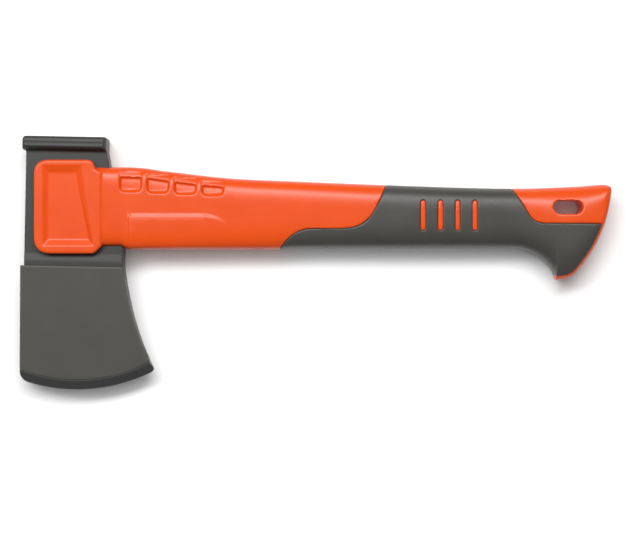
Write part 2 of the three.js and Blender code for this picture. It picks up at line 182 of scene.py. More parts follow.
def curve(start, first, second, end, steps):
    """Points along a cubic curve, without its last one."""
    knots = [Vector((*knot, 0)) for knot in (start, first, second, end)]
    return [(p.x, p.y) for p in interpolate_bezier(*knots, steps + 1)[:-1]]


def bend(start, control, end, steps):
    """Points along a curve with one control point, without its last one."""
    start, control, end = Vector(start), Vector(control), Vector(end)
    return curve(start, start.lerp(control, 2 / 3), end.lerp(control, 2 / 3), end, steps)


def arc(centre, radius, start, end, steps):
    """Points along an arc, both ends included."""
    angles = [start + (end - start) * i / steps for i in range(steps + 1)]
    return [(centre[0] + radius * math.cos(a), centre[1] + radius * math.sin(a)) for a in angles]


def spline(knots, steps=16):
    """Points along a smooth curve through knots."""
    line = []
    last = len(knots) - 1
    for i in range(last):
        before, here, there, after = (Vector(knots[min(max(k, 0), last)]) for k in range(i - 1, i + 3))
        line += curve(here, here + (there - before) / 6, there - (after - here) / 6, there, steps)
    return [*line, tuple(knots[-1])]


def height_at(line, x):
    """Height of a line of points at x."""
    for (ax, ay), (bx, by) in zip(line, line[1:]):
        if bx >= x:
            return by if bx <= ax else ay + (by - ay) * (x - ax) / (bx - ax)
    return line[-1][1]


def rounded(corners, steps=6):
    """A polygon from corners of x, y and the radius that rounds them."""
    points = []
    for i, (x, y, radius) in enumerate(corners):
        corner = Vector((x, y))
        if not radius:
            points.append((x, y))
            continue
        before = (Vector(corners[i - 1][:2]) - corner).normalized()
        after = (Vector(corners[(i + 1) % len(corners)][:2]) - corner).normalized()
        reach = radius / math.tan(before.angle(after) / 2)
        points += bend(corner + before * reach, corner, corner + after * reach, steps)
        points.append(tuple(corner + after * reach))
    return points


def moved_in(outline, distance):
    """An outline moved inwards by a distance, or outwards by a negative one."""
    points = []
    for i, here in enumerate(outline):
        here = Vector(here)
        into = (here - Vector(outline[i - 1])).normalized()
        out = (Vector(outline[(i + 1) % len(outline)]) - here).normalized()
        reach = distance / (1 + into.dot(out))
        points.append((here.x - (into.y + out.y) * reach, here.y + (into.x + out.x) * reach))
    return points


def round_ended(x, y, length_x, length_y, steps=12):
    """A slot with round ends."""
    radius = min(length_x, length_y) / 2
    flat_x, flat_y = length_x / 2 - radius, length_y / 2 - radius
    turn = 0 if length_y > length_x else math.pi / 2
    return [
        *arc((x - flat_x, y + flat_y), radius, turn, turn + math.pi, steps),
        *arc((x + flat_x, y - flat_y), radius, turn + math.pi, turn + 2 * math.pi, steps),
    ]


def arc_y(radius, x):
    """Lowest line of the blade or its cover at x."""
    return EDGE_CENTRE.y - math.sqrt(radius**2 - (x - EDGE_CENTRE.x) ** 2)


def blade_outline(toe, heel, radius, top, toe_round, heel_round):
    """Outline of the blade, its cover or the cover's hollow, with its upper side at top."""

    def angle(x):
        return math.atan2(arc_y(radius, x) - EDGE_CENTRE.y, x - EDGE_CENTRE.x)

    neck_heel = HEAD_TOE + NECK_WIDTH
    toe_end = (toe, arc_y(radius, toe))
    heel_end = Vector((heel, arc_y(radius, heel)))
    bow = Vector((neck_heel + HEEL_BOW, SHOULDER_Y - BLADE_HEIGHT / 2))
    rise = heel_end + (bow - heel_end).normalized() * heel_round
    start, end = toe + toe_round, heel - heel_round
    points = [(toe, top)]
    points += bend((toe, toe_end[1] + toe_round), toe_end, (start, arc_y(radius, start)), 8)
    points += arc(EDGE_CENTRE, radius, angle(start), angle(end), 48)
    points += bend((end, arc_y(radius, end)), heel_end, rise, 6)[1:]
    points += bend(rise, bow, (neck_heel, SHOULDER_Y), 24)
    points.append((neck_heel, SHOULDER_Y))
    if top > SHOULDER_Y:
        points.append((neck_heel, top))
    return points


# ---------------------------------------------------------------- solids


def solid(name, made):
    """An object from a bmesh, with its normals outwards."""
    bmesh.ops.recalc_face_normals(made, faces=made.faces)
    mesh = bpy.data.meshes.new(name)
    made.to_mesh(mesh)
    made.free()
    piece = bpy.data.objects.new(name, mesh)
    bpy.context.scene.collection.objects.link(piece)
    return piece


def extruded(corners, along):
    """A solid from the 3-D corners of one end, pushed along a vector."""
    made = bmesh.new()
    end = made.faces.new([made.verts.new(corner) for corner in corners])
    pushed = bmesh.ops.extrude_face_region(made, geom=[end])["geom"]
    bmesh.ops.translate(made, vec=along, verts=[v for v in pushed if isinstance(v, bmesh.types.BMVert)])
    return solid("solid", made)


def prism(outline, low=-FAR, high=FAR):
    """An outline in XY pushed through Z."""
    return extruded([(x, y, low) for x, y in outline], (0, 0, high - low))


def tapered(stations):
    """A block whose thickness follows stations of y and half thickness."""
    section = [(y, -half) for y, half in stations] + [(y, half) for y, half in reversed(stations)]
    return extruded([(-FAR, y, z) for y, z in section], (3 * FAR, 0, 0))


def box(low, high):
    """A block between two corners."""
    made = bmesh.new()
    low, high = Vector(low), Vector(high)
    bmesh.ops.create_cube(made, size=1)
    bmesh.ops.scale(made, vec=high - low, verts=made.verts)
    bmesh.ops.translate(made, vec=(low + high) / 2, verts=made.verts)
    return solid("box", made)


def disc(radius, rim_half, angle):
    """A disc about the edge's centre whose sides taper at an angle from the rim's half thickness."""
    height = rim_half + radius * math.tan(angle)
    made = bmesh.new()
    corners = [(0, 0, -height), (radius, 0, -rim_half), (radius, 0, rim_half), (0, 0, height)]
    rim = [made.verts.new(corner) for corner in corners]
    sides = [made.edges.new(pair) for pair in zip(rim, rim[1:])]
    bmesh.ops.spin(
        made, geom=rim + sides, cent=(0, 0, 0), axis=(0, 0, 1), angle=2 * math.pi, steps=240, use_merge=True
    )
    bmesh.ops.remove_doubles(made, verts=made.verts, dist=0.001)
    bmesh.ops.translate(made, vec=EDGE_CENTRE, verts=made.verts)
    return solid("disc", made)


def bake(piece):
    """Applies a piece's modifiers to its mesh."""
    evaluated = piece.evaluated_get(bpy.context.evaluated_depsgraph_get())
    mesh = bpy.data.meshes.new_from_object(evaluated)
    piece.modifiers.clear()
    piece.data = mesh
    return piece


def combine(piece, tool, operation):
    """The piece after a boolean with a tool, which is used up."""
    step = piece.modifiers.new("combine", "BOOLEAN")
    step.operation = operation
    step.solver = "MANIFOLD"
    step.object = tool
    bake(piece)
    bpy.data.objects.remove(tool)
    return piece


def cut(piece, *tools):
    """The piece with tools cut out of it."""
    for tool in tools:
        combine(piece, tool, "DIFFERENCE")
    return piece


def join(piece, *tools):
    """The piece with tools added to it."""
    for tool in tools:
        combine(piece, tool, "UNION")
    return piece


def keep(piece, *tools):
    """The part of a piece that lies inside every tool."""
    for tool in tools:
        combine(piece, tool, "INTERSECT")
    return piece


def moved(piece, matrix):
    """A piece moved in its mesh."""
    piece.data.transform(matrix)
    return piece


def softened(piece, voxel, passes):
    """Rounds every edge of a piece a little, as casting, moulding and paint do."""
    step = piece.modifiers.new("skin", "REMESH")
    step.mode = "VOXEL"
    step.voxel_size = voxel
    bake(piece)
    made = bmesh.new()
    made.from_mesh(piece.data)
    for _ in range(passes):
        bmesh.ops.smooth_vert(
            made, verts=made.verts, factor=0.5, use_axis_x=True, use_axis_y=True, use_axis_z=True
        )
    made.to_mesh(piece.data)
    made.free()
    return piece


def thinned(piece, ratio):
    """A piece with fewer faces, mostly on its flatter parts."""
    step = piece.modifiers.new("thin", "DECIMATE")
    step.ratio = ratio
    return bake(piece)


def finished(piece, name, node, body, finish):
    """Names a piece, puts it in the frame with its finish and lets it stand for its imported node."""
    piece.name = piece.data.name = name
    moved(piece, place())
    mark_corners(piece)
    piece.data.materials.clear()
    piece.data.materials.append(finish)
    piece.data.shade_smooth()
    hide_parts(node)
    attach(piece, body)
    return piece


def mark_corners(piece):
    """Writes how far each vertex stands out, from 0 on a flat or hollow to 1 on a sharp corner."""
    made = bmesh.new()
    made.from_mesh(piece.data)
    layer = made.verts.layers.float.new("corner")
    for vertex in made.verts:
        turns = [edge.calc_face_angle_signed(0) for edge in vertex.link_edges]
        vertex[layer] = min(max(sum(turns) / 0.8, 0), 1) if turns else 0
    made.to_mesh(piece.data)
    made.free()


# ---------------------------------------------------------------- head and cover


def head_blank(gap=0.0):
    """The forging without its window and ground edge, grown all round by a gap."""
    blade = blade_outline(HEAD_TOE, HEEL_X, EDGE_RADIUS, SHOULDER_Y + 1, EDGE_TOE_ROUND, EDGE_HEEL_ROUND)
    heel = HEAD_TOE + NECK_WIDTH
    neck = [
        (HEAD_TOE, SHOULDER_Y),
        (heel, SHOULDER_Y),
        (heel, WAIST_Y),
        (HEAD_TOE + NECK_TOP_WIDTH, POLL_Y + 1),
        (HEAD_TOE, POLL_Y + 1),
    ]
    wedge = tapered([
        (SHOULDER_Y - BLADE_HEIGHT - 1, BLADE_END_HALF + gap),
        (SHOULDER_Y, SHOULDER_HALF + gap),
        (SHOULDER_Y + SHOULDER_FLAT, SHOULDER_HALF + gap),
        (SHOULDER_Y + SHOULDER_FLAT + SHOULDER_RAMP, NECK_HALF + gap),
        (FAR, NECK_HALF + gap),
    ])
    return keep(join(prism(moved_in(blade, -gap)), prism(moved_in(neck, -gap))), wedge)


def poll():
    """The hammer poll: a bar with an undercut, a drawn-in crown and chamfered ends."""
    left, right = HEAD_TOE - POLL_OVERHANG, HEAD_TOE - POLL_OVERHANG + POLL_LENGTH
    low, high = POLL_Y, POLL_Y + POLL_HEIGHT
    side = [
        (low, NECK_HALF), (low + 0.3, POLL_HALF - 2.4), (low + 1.9, POLL_HALF - 0.1), (low + 2.6, POLL_HALF),
        (high - 3.4, POLL_HALF - 0.6), (high - 3.1, POLL_HALF - 1), (high - 1.2, POLL_HALF - 1.1),
        (high, POLL_HALF - 2.2),
    ]
    section = side + [(y, -z) for y, z in reversed(side)]
    bar = extruded([(left, y, z) for y, z in section], (POLL_LENGTH, 0, 0))
    plan = rounded([(left, low - 1, 1), (right, low - 1, 1), (right, high, 0.8), (left, high, 2.4)])
    end = [(left, POLL_HALF - 1.2), (left + 1.2, POLL_HALF), (right - POLL_CHAMFER, POLL_HALF)]
    end.append((right, POLL_HALF - 2 * POLL_CHAMFER))
    ends = end + [(x, -z) for x, z in reversed(end)]
    return keep(bar, prism(plan), extruded([(x, -FAR, z) for x, z in ends], (0, 2 * FAR, 0)))


def grindings():
    """What grinding takes off beside the cutting edge."""
    below = box((-FAR, -FAR, -FAR), (FAR, SHOULDER_Y, FAR))
    return cut(below, disc(EDGE_RADIUS, EDGE_FLAT / 2, GRIND_ANGLE))


def wedge_around(offset):
    """The blade's wedge moved outwards by an offset."""
    return tapered([
        (SHOULDER_Y - BLADE_HEIGHT - 5, BLADE_END_HALF + offset),
        (SHOULDER_Y, SHOULDER_HALF + offset),
        (FAR, SHOULDER_HALF + offset),
    ])


def cover_hollow():
    """The space inside the cover, open above and at the heel."""
    inner = EDGE_RADIUS + COVER_GAP
    toe_side = prism(blade_outline(HEAD_TOE - COVER_GAP, HEEL_X, inner, FAR, EDGE_TOE_ROUND, HOLLOW_HEEL_ROUND))
    low = arc_y(inner, HEEL_X)
    heel_side = box((HEAD_TOE + NECK_WIDTH / 2, low, -FAR), (FAR, SHOULDER_Y + 1, FAR))
    return keep(join(toe_side, heel_side), wedge_around(COVER_GAP))


def cover_blank(proud):
    """The whole cover, with its faces stood out from the blade's wedge."""
    toe = HEAD_TOE - COVER_GAP - COVER_WALL
    outline = blade_outline(toe, HEEL_X + COVER_LIP, COVER_RADIUS, SHOULDER_Y, TOE_CORNER, HEEL_CORNER)
    blank = keep(
        prism(outline),
        wedge_around(COVER_GAP + COVER_WALL + proud),
        disc(COVER_RADIUS, BAND_END_HALF, BAND_ANGLE),
    )
    return cut(blank, cover_hollow())


# ---------------------------------------------------------------- handle

HOOK_CENTRE = (TOTAL_LENGTH - 57.3, GRIP_BOTTOM - HOOK_RADIUS)
TIP = (
    HOOK_CENTRE[0] + HOOK_RADIUS * math.sin(HOOK_SWEEP),
    HOOK_CENTRE[1] + HOOK_RADIUS * math.cos(HOOK_SWEEP) - HOOK_DROP,
)


def butt_curve(start, width, steps):
    """From a point near the hook's tip round the butt, moved inwards by a width."""
    centre = (TOTAL_LENGTH - BUTT_RADIUS, BUTT_TOP)
    radius = BUTT_RADIUS - width
    join_x = centre[0] + radius * math.cos(BUTT_SWEEP)
    join_y = centre[1] - radius * math.sin(BUTT_SWEEP)
    level = TIP[1] + width
    corner = (join_x - (join_y - level) * math.tan(BUTT_SWEEP), level)
    return [
        *bend(start, corner, (join_x, join_y), steps),
        *arc(centre, radius, -BUTT_SWEEP, -math.radians(2), 2 * steps),
    ]


UPPER_EDGE = spline([
    (CORE_START, SOCKET_TOP), (50, SOCKET_TOP), (68, SOCKET_TOP - 0.1), (86, SOCKET_TOP - 2.4),
    (121, GRIP_TOP + 4.8), (161, GRIP_TOP + 2.9), (TOTAL_LENGTH - 104, GRIP_TOP), (TOTAL_LENGTH - 57.5, GRIP_TOP - 1.1),
    (TOTAL_LENGTH - 23, GRIP_TOP - 0.1), (TOTAL_LENGTH - 8, BUTT_TOP - 0.4), (TOTAL_LENGTH, BUTT_TOP),
])
LOWER_EDGE = [
    (CORE_START, SOCKET_BOTTOM),
    *bend(
        (HEAD_TOE + NECK_WIDTH - 1, SOCKET_BOTTOM), (HEAD_TOE + NECK_WIDTH + 1, SHAFT_BOTTOM),
        (HEAD_TOE + NECK_WIDTH + 6, SHAFT_BOTTOM), 12,
    ),
    *bend((GRIP_FRONT, SHAFT_BOTTOM), (GRIP_FRONT + 4, GRIP_BOTTOM), (GRIP_FRONT + 12, GRIP_BOTTOM), 12),
    (GRIP_FRONT + 12, GRIP_BOTTOM),
    *arc(HOOK_CENTRE, HOOK_RADIUS, math.pi / 2, math.pi / 2 - HOOK_SWEEP, 40),
    *butt_curve(TIP, 0, 24),
]
HALF_THICKNESS = spline([
    (CORE_START, CHEEK_HALF), (45, CHEEK_HALF - 0.4), (62, CHEEK_HALF - 1), (130, 12.6), (170, 12.6),
    (TOTAL_LENGTH - 95, 13.5), (TOTAL_LENGTH - 55, 12.5), (TOTAL_LENGTH - 22, 13.85), (TOTAL_LENGTH, 13.85),
])
SQUARENESS = [
    (CORE_START, 7), (60, 6), (125, 4.2), (200, 3.6), (TOTAL_LENGTH - 60, 3.2), (TOTAL_LENGTH, 3.4),
]


def stations():
    """Where the handle's sections are: closer together at the hook's tip and at the butt's end."""
    end = TOTAL_LENGTH - BUTT_ROUND
    along = [CORE_START + i for i in range(int(TIP[0]) - CORE_START)]
    near_tip = [TIP[0] - 0.5, TIP[0] - 0.05, TIP[0] + 0.05, TIP[0] + 0.5]
    past_tip = [TIP[0] + 1 + i for i in range(int(end - TIP[0]) - 1)]
    round_end = [end + BUTT_ROUND * math.sin(math.pi / 2 * i / 10) for i in range(11)]
    return along + near_tip + past_tip + round_end


STATIONS = stations()


def handle_body(grow=0.0, around=112):
    """The handle's solid, grown all round: a sheet rolled up and drawn out to the section at each station."""
    rows = len(STATIONS) - 1
    made = bmesh.new()
    bmesh.ops.create_grid(made, x_segments=rows, y_segments=around, size=1)
    sections = []
    for x in STATIONS:
        high = height_at(UPPER_EDGE, x)
        low = min(height_at(LOWER_EDGE, x), high - LEAST_HEIGHT)
        past = max(0, x - (TOTAL_LENGTH - BUTT_ROUND))
        shrink = BUTT_ROUND - math.sqrt(BUTT_ROUND**2 - past**2)
        half = height_at(HALF_THICKNESS, x) + grow - shrink
        power = 2 / height_at(SQUARENESS, x)
        sections.append((x, (high + low) / 2, (high - low) / 2 + grow - BUTT_EASE * shrink, half, power))
    for vertex in made.verts:
        x, middle, half_height, half, power = sections[round((vertex.co.x + 1) / 2 * rows)]
        turn = (vertex.co.y + 1) * math.pi
        up, out = round(math.sin(turn), 6), round(math.cos(turn), 6)
        up, out = (math.copysign(abs(value) ** power, value) for value in (up, out))
        vertex.co = (x, middle + half_height * up, half * out)
    bmesh.ops.remove_doubles(made, verts=made.verts, dist=0.0005)
    bmesh.ops.holes_fill(made, edges=[edge for edge in made.edges if edge.is_boundary])
    return solid("handle_body", made)


def grip_outline():
    """The part of the handle that the soft grip covers, seen from the side."""
    front, end = GRIP_FRONT, TOTAL_LENGTH
    upper = [
        (front - 6, -FAR),
        *curve((front - 1, SHAFT_BOTTOM - 2), (front + 4, -12), (front + 10, -6.3), (front + 19, -6.2), 16),
        *curve((front + 37, -6.1), (front + 51, -5.8), (front + 54, 3), (front + 57.5, 9.2), 16),
        (front + 57.5, 9.2),
        (front + 64, 24),
        (front + 64, FAR),
        (end - 62, FAR),
        (end - 58.5, GRIP_TOP + 1),
        *curve((end - 52, 9.2), (end - 46.5, 0.5), (end - 46, -3.1), (end - 38, -3.1), 16),
        (end - 38, -3.1),
    ]
    rim = [p for p in butt_curve((TIP[0] - 1, TIP[1] + RIM_WIDTH), RIM_WIDTH, 24) if p[1] < -3.1]
    return [*upper, *reversed(rim), (TIP[0] - 4, TIP[1] + RIM_WIDTH), (TIP[0] - 4, -FAR)][::-1]


def ribs(settings):
    """Outlines of the ribs that show through the grip."""
    centres = [RIB_START + i * RIB_PITCH for i in range(settings.rib_count)]
    return [round_ended(x, RIB_MIDDLE, RIB_WIDTH, RIB_LENGTH) for x in centres]


def cheeks():
    """The plates over the neck, with rounded rims."""
    outline = rounded([
        (CHEEK_TOE, CHEEK_BOTTOM, 9.5), (CHEEK_END_BOTTOM, CHEEK_BOTTOM, 3),
        (CHEEK_END_BOTTOM + CHEEK_REACH, SOCKET_BOTTOM, 0),
        (CHEEK_END_BOTTOM + CHEEK_REACH, SOCKET_TOP - 3, 0),
        (CHEEK_END_TOP, SOCKET_TOP - 1, 0), (CHEEK_END_TOP - 1, CHEEK_TOP, 4.5), (CHEEK_TOE, CHEEK_TOP, 8.5),
    ])
    made = bmesh.new()
    end = made.faces.new([made.verts.new((x, y, -CHEEK_HALF)) for x, y in outline])
    pushed = bmesh.ops.extrude_face_region(made, geom=[end])["geom"]
    bmesh.ops.translate(
        made, vec=(0, 0, 2 * CHEEK_HALF), verts=[v for v in pushed if isinstance(v, bmesh.types.BMVert)]
    )
    rims = [edge for edge in made.edges if abs(edge.verts[0].co.z - edge.verts[1].co.z) < 1]
    bmesh.ops.bevel(made, geom=rims, offset=1.2, segments=4, profile=0.5, affect="EDGES", material=-1)
    return solid("cheeks", made)


def tray(side, depth):
    """Fills the sloping-sided tray in one cheek plate, and a little above it."""
    made = bmesh.new()
    lid = made.faces.new([made.verts.new((x, y, side * (CHEEK_HALF + 3))) for x, y in TRAY_MOUTH])
    end = lid
    for outline, level in ((TRAY_MOUTH, CHEEK_HALF), (TRAY_FLOOR, CHEEK_HALF - depth)):
        pushed = bmesh.ops.extrude_face_region(made, geom=[end])["geom"]
        if end is not lid:
            bmesh.ops.delete(made, geom=[end], context="FACES_ONLY")
        end = next(part for part in pushed if isinstance(part, bmesh.types.BMFace))
        for vertex, (x, y) in zip(end.verts, outline):
            vertex.co = (x, y, side * level)
    return solid("tray", made)


def pocket_corners(i):
    """Start, end, lower and upper height of a pocket below the upper edge."""
    start = POCKET_START + i * POCKET_PITCH
    end = start + POCKET_WIDTH
    return start, end, POCKET_LOW - POCKET_STEP * i, height_at(UPPER_EDGE, (start + end) / 2) - POCKET_INSET


def pockets(settings):
    """The pockets on both sides, deepest at their upper wall."""
    made = []
    for i in range(settings.pocket_count):
        start, end, low, _ = pocket_corners(i)
        tops = [(x, height_at(UPPER_EDGE, x) - POCKET_INSET) for x in (end, start)]
        outline = rounded([(start, low, 3.4), (end, low, 3.4), *((x, y, 0.8) for x, y in tops)])
        surface = height_at(HALF_THICKNESS, (start + end) / 2)
        high = tops[1][1]
        section = [(low, surface - POCKET_SHALLOW), (high, surface - POCKET_DEPTH), (high, FAR), (low, FAR)]
        for side in (1, -1):
            above = extruded([(-FAR, y, side * z) for y, z in section], (3 * FAR, 0, 0))
            made.append(keep(prism(outline), above))
    return made


def pocket_surrounds(settings):
    """The shallow steps around the pockets, which leave a narrow rib between each two."""
    made = []
    for i in range(settings.pocket_count):
        start, end, low, high = pocket_corners(i)
        left, right, top = start - SURROUND_SIDE, end + SURROUND_SIDE, high + SURROUND_RISE
        outline = rounded([(left, low - 0.6, 4), (right, low - 0.6, 4), (right, top, 1), (left, top, 1)])
        made.append(cut(prism(outline), handle_body(-SURROUND_DEPTH, around=64)))
    return made


def panel_share(x, y):
    """How much of the panel's height a place has: 1 on it, less on its slope and where it runs out."""
    along = min(max((x - PANEL_BEND) / (PANEL_END - PANEL_BEND), 0), 1)
    top = PANEL_TOP - PANEL_DROP * (1 - math.sqrt(1 - along**2))
    corner = PANEL_TOP - 0.35 * max(0, PANEL_START + 2.4 - x) ** 2
    inside = min((min(top, corner) - y) / PANEL_DRAFT, x - PANEL_START, (PANEL_END - x) / PANEL_DRAFT, 1)
    run_out = min(1, (PANEL_END - x) / (PANEL_END - PANEL_FADE))
    return max(0, inside) * run_out


def raise_panel(piece, settings):
    """Raises the panel on each side of the handle, down to its lower edge."""
    made = bmesh.new()
    made.from_mesh(piece.data)
    for vertex in made.verts:
        x, y, z = vertex.co
        if PANEL_START < x < PANEL_END and y < PANEL_TOP and abs(z) > 2:
            lifted = settings.panel_height / MM * panel_share(x, y) * min(1, (abs(z) - 2) / 8)
            vertex.co.z += math.copysign(lifted, z)
    made.to_mesh(piece.data)
    made.free()


# ---------------------------------------------------------------- finishes


class Amount:
    """A number that varies over a surface. Sums on it add Math nodes."""

    def __init__(self, finish, socket):
        self.finish = finish
        self.socket = socket

    def maths(self, operation, first, second):
        return self.finish.node("ShaderNodeMath", {"operation": operation}, {0: first, 1: second})

    def __add__(self, other):
        return self.maths("ADD", self, other)

    def __sub__(self, other):
        return self.maths("SUBTRACT", self, other)

    def __rsub__(self, other):
        return self.maths("SUBTRACT", other, self)

    def __mul__(self, other):
        return self.maths("MULTIPLY", self, other)

    def __gt__(self, other):
        return self.maths("GREATER_THAN", self, other)

    __radd__ = __add__
    __rmul__ = __mul__


class Finish:
    """A material and its nodes."""

    def __init__(self, name):
        self.material = bpy.data.materials.new(name)
        self.material.use_nodes = True
        self.tree = self.material.node_tree
        self.shader = self.tree.nodes["Principled BSDF"]
        coordinates = self.tree.nodes.new("ShaderNodeTexCoord")
        self.place = Amount(self, coordinates.outputs["Object"])

    def feed(self, socket, value):
        """Sets a socket's value or links it."""
        if isinstance(value, Amount):
            self.tree.links.new(value.socket, socket)
        elif hasattr(socket.default_value, "__len__") and len(value) == 3 and len(socket.default_value) == 4:
            socket.default_value = (*value, 1)
        else:
            socket.default_value = value

    def node(self, kind, settings, inputs, output=0):
        """Adds a node: its settings first, then its sockets' values or links."""
        made = self.tree.nodes.new(kind)
        for name, value in settings.items():
            if name == "stops":
                ramp = made.color_ramp.elements
                while len(ramp) < len(value):
                    ramp.new(0.5)
                for stop, (position, colour) in zip(ramp, value):
                    stop.position, stop.color = position, (*colour, 1)
            else:
                setattr(made, name, value)
        for name, value in inputs.items():
            self.feed(made.inputs[name], value)
        return Amount(self, made.outputs[output])

    def noise(self, size, detail=2.0, rough=0.5):
        """Cloudy noise whose patches are about this many millimetres across."""
        inputs = {"Vector": self.place, "Scale": 1 / (size * MM), "Detail": detail, "Roughness": rough}
        return self.node("ShaderNodeTexNoise", {}, inputs)

    def grain(self, size):
        """Small round cells, as on a spark-eroded mould."""
        inputs = {"Vector": self.place, "Scale": 1 / (size * MM)}
        return self.node("ShaderNodeTexVoronoi", {"feature": "SMOOTH_F1"}, inputs)

    def limited(self, value, low, high, to_low=0.0, to_high=1.0):
        """A value stretched from one range to another and held inside it."""
        inputs = {"Value": value, "From Min": low, "From Max": high, "To Min": to_low, "To Max": to_high}
        return self.node("ShaderNodeMapRange", {"clamp": True}, inputs)

    def mixed(self, share, first, second):
        """A colour between two."""
        return self.node("ShaderNodeMix", {"data_type": "RGBA"}, {0: share, 6: first, 7: second}, output=2)

    def corners(self):
        """How far the surface stands out: 1 on its corners."""
        return self.node("ShaderNodeAttribute", {"attribute_name": "corner"}, {}, output=2)

    def surface(self, **inputs):
        """Sets the shader's sockets."""
        for name, value in inputs.items():
            self.feed(self.shader.inputs[name.replace("_", " ")], value)

    def bumped(self, height, depth):
        """Raises the surface by a height of up to this many millimetres."""
        inputs = {"Height": height, "Distance": depth * MM, "Strength": 1.0}
        self.surface(Normal=self.node("ShaderNodeBump", {}, inputs))


def shade(colour, factor):
    """A colour made lighter or darker."""
    return tuple(min(channel * factor, 1) for channel in colour)


def orange_nylon(colours):
    """Satin glass-filled nylon, faintly clouded where the melt flowed, with painted highlights on its corners."""
    finish = Finish("orange_nylon")
    colour = tuple(colours.handle)
    flow = finish.limited(finish.noise(22, 3), 0.3, 0.7)
    # Painted highlight: the corners are painted a little lighter, in patches, where light catches their rounding.
    painted_corner_highlight = finish.limited(finish.corners() * finish.noise(3), 0.25, 0.6, 0, 0.35)
    base = finish.mixed(flow, shade(colour, 0.97), shade(colour, 1.02))
    fine = finish.noise(0.35, 2)
    finish.surface(
        Base_Color=finish.mixed(painted_corner_highlight, base, shade(colour, 1.06)),
        Roughness=finish.limited(fine + finish.noise(9), 0.6, 1.4, 0.27, 0.34),
        IOR=1.46,
    )
    finish.bumped(fine, 0.012)
    return finish.material


def soft_rubber(colours):
    """Matt rubber with a fine spark-eroded grain and painted highlights on its corners."""
    finish = Finish("soft_rubber")
    colour = tuple(colours.grip)
    grain = finish.grain(0.55)
    patches = finish.limited(finish.noise(14, 3), 0.3, 0.7)
    base = finish.mixed(patches, shade(colour, 0.93), shade(colour, 1.06))
    finish.surface(
        # Painted highlight: the corners are painted lighter, where light catches their rounding.
        Base_Color=finish.mixed(finish.corners() * 0.4, base, shade(colour, 1.35)),
        Roughness=finish.limited(grain + patches * 0.3, 0.1, 0.9, 0.35, 0.45),
        IOR=1.5,
    )
    finish.bumped(grain, 0.02)
    return finish.material


def coated_steel(colours):
    """Dark lacquered forging with a fine speckle and painted highlights on its corners, bare and bright where the edge
    is ground.
    """
    finish = Finish("coated_steel")
    coat, bare = tuple(colours.head), (0.52, 0.51, 0.5)
    speckle = finish.noise(0.3, 2)
    patches = finish.limited(finish.noise(11, 3), 0.3, 0.7)
    centre = place() @ lean() @ EDGE_CENTRE
    mapping = finish.node("ShaderNodeMapping", {"vector_type": "POINT"}, {
        "Vector": finish.place, "Location": (-centre.x, -centre.y, 0), "Scale": (1, 1, 0),
    })
    distance = finish.node("ShaderNodeVectorMath", {"operation": "LENGTH"}, {0: mapping}, output=1)
    wander = (finish.noise(2.5, 2) - 0.5) * 0.0012
    ground = finish.limited(distance + wander, GROUND_RADIUS * MM, (GROUND_RADIUS + 0.6) * MM)
    turned = finish.node("ShaderNodeMapping", {"vector_type": "POINT"}, {
        "Vector": finish.place, "Scale": (2600, 90, 90),
    })
    lines = finish.node("ShaderNodeTexNoise", {}, {"Vector": turned, "Scale": 1.0, "Detail": 2.0})
    # Painted highlight: the lacquer is painted much lighter, in patches, on the corners, where light catches their
    # rounding.
    painted_corner_highlight = finish.limited(finish.corners() * finish.noise(1.6, 3), 0.2, 0.7, 0, 0.5)
    lacquer = finish.mixed(patches, shade(coat, 0.92), shade(coat, 1.08))
    lacquer = finish.mixed(painted_corner_highlight, lacquer, shade(coat, 2.2))
    steel = finish.mixed(lines, shade(bare, 0.8), bare)
    matt = finish.limited(speckle + patches * 0.4, 0.3, 1.1, 0.42, 0.54)
    finish.surface(
        Base_Color=finish.mixed(ground, lacquer, steel),
        Metallic=finish.limited(ground, 0, 1, 0.25, 1),
        Roughness=finish.limited(ground, 0, 1, 0, 1) * 0.28 + (1 - ground) * matt,
    )
    finish.bumped(speckle * (1 - ground) + lines * ground * 0.4, 0.02)
    return finish.material


def moulded_plastic(name, colour, grain_size):
    """Flat, finely grained plastic with painted highlights on its corners."""
    finish = Finish(name)
    colour = tuple(colour)
    grain = finish.grain(grain_size)
    flow = finish.limited(finish.noise(18, 3), 0.3, 0.7)
    base = finish.mixed(flow, shade(colour, 0.96), shade(colour, 1.04))
    finish.surface(
        # Painted highlight: the corners are painted lighter, where light catches their rounding.
        Base_Color=finish.mixed(finish.corners() * 0.6, base, shade(colour, 1.5)),
        Roughness=finish.limited(grain + flow * 0.4, 0.1, 1.0, 0.5, 0.64),
        IOR=1.48,
    )
    finish.bumped(grain, 0.012)
    return finish.material


VIEW_CENTRE = Vector((169.85, -30.04, 0))
SEEN_BY = ("Camera", "Glossy", "Transmission")


def stage_floor(colour):
    """Plain matt paper, faintly uneven, that throws little light back at the tool."""
    finish = Finish("stage_floor")
    colour = tuple(colour)
    uneven = finish.noise(60, 2)
    paper = finish.mixed(uneven, shade(colour, 0.995), colour)
    rays = [finish.node("ShaderNodeLightPath", {}, {}, output=f"Is {kind} Ray") for kind in SEEN_BY]
    seen = finish.limited(rays[0] + rays[1] + rays[2], 0, 1)
    finish.surface(Base_Color=finish.mixed(seen, shade(colour, 0.4), paper), Roughness=0.9)
    finish.shader.inputs["Specular IOR Level"].default_value = 0
    return finish.material


# ---------------------------------------------------------------- settings


class HatchetSizes(bpy.types.PropertyGroup):
    """Sizes of the moulded details."""

    panel_height: FloatProperty(
        name="Panel height", description="How far the side panel stands out", default=0.0006, unit="LENGTH"
    )
    tray_depth: FloatProperty(
        name="Tray depth", description="Depth of the tray in each cheek plate", default=0.0016, unit="LENGTH"
    )
    skin: FloatProperty(
        name="Skin", description="Size of the smallest rounding that is kept", default=0.0005, unit="LENGTH"
    )
    pocket_count: IntProperty(name="Pockets", description="Pockets along each side", default=4, min=0, max=4)
    rib_count: IntProperty(
        name="Ribs", description="Ribs that show through the grip", default=4, min=0, max=4
    )


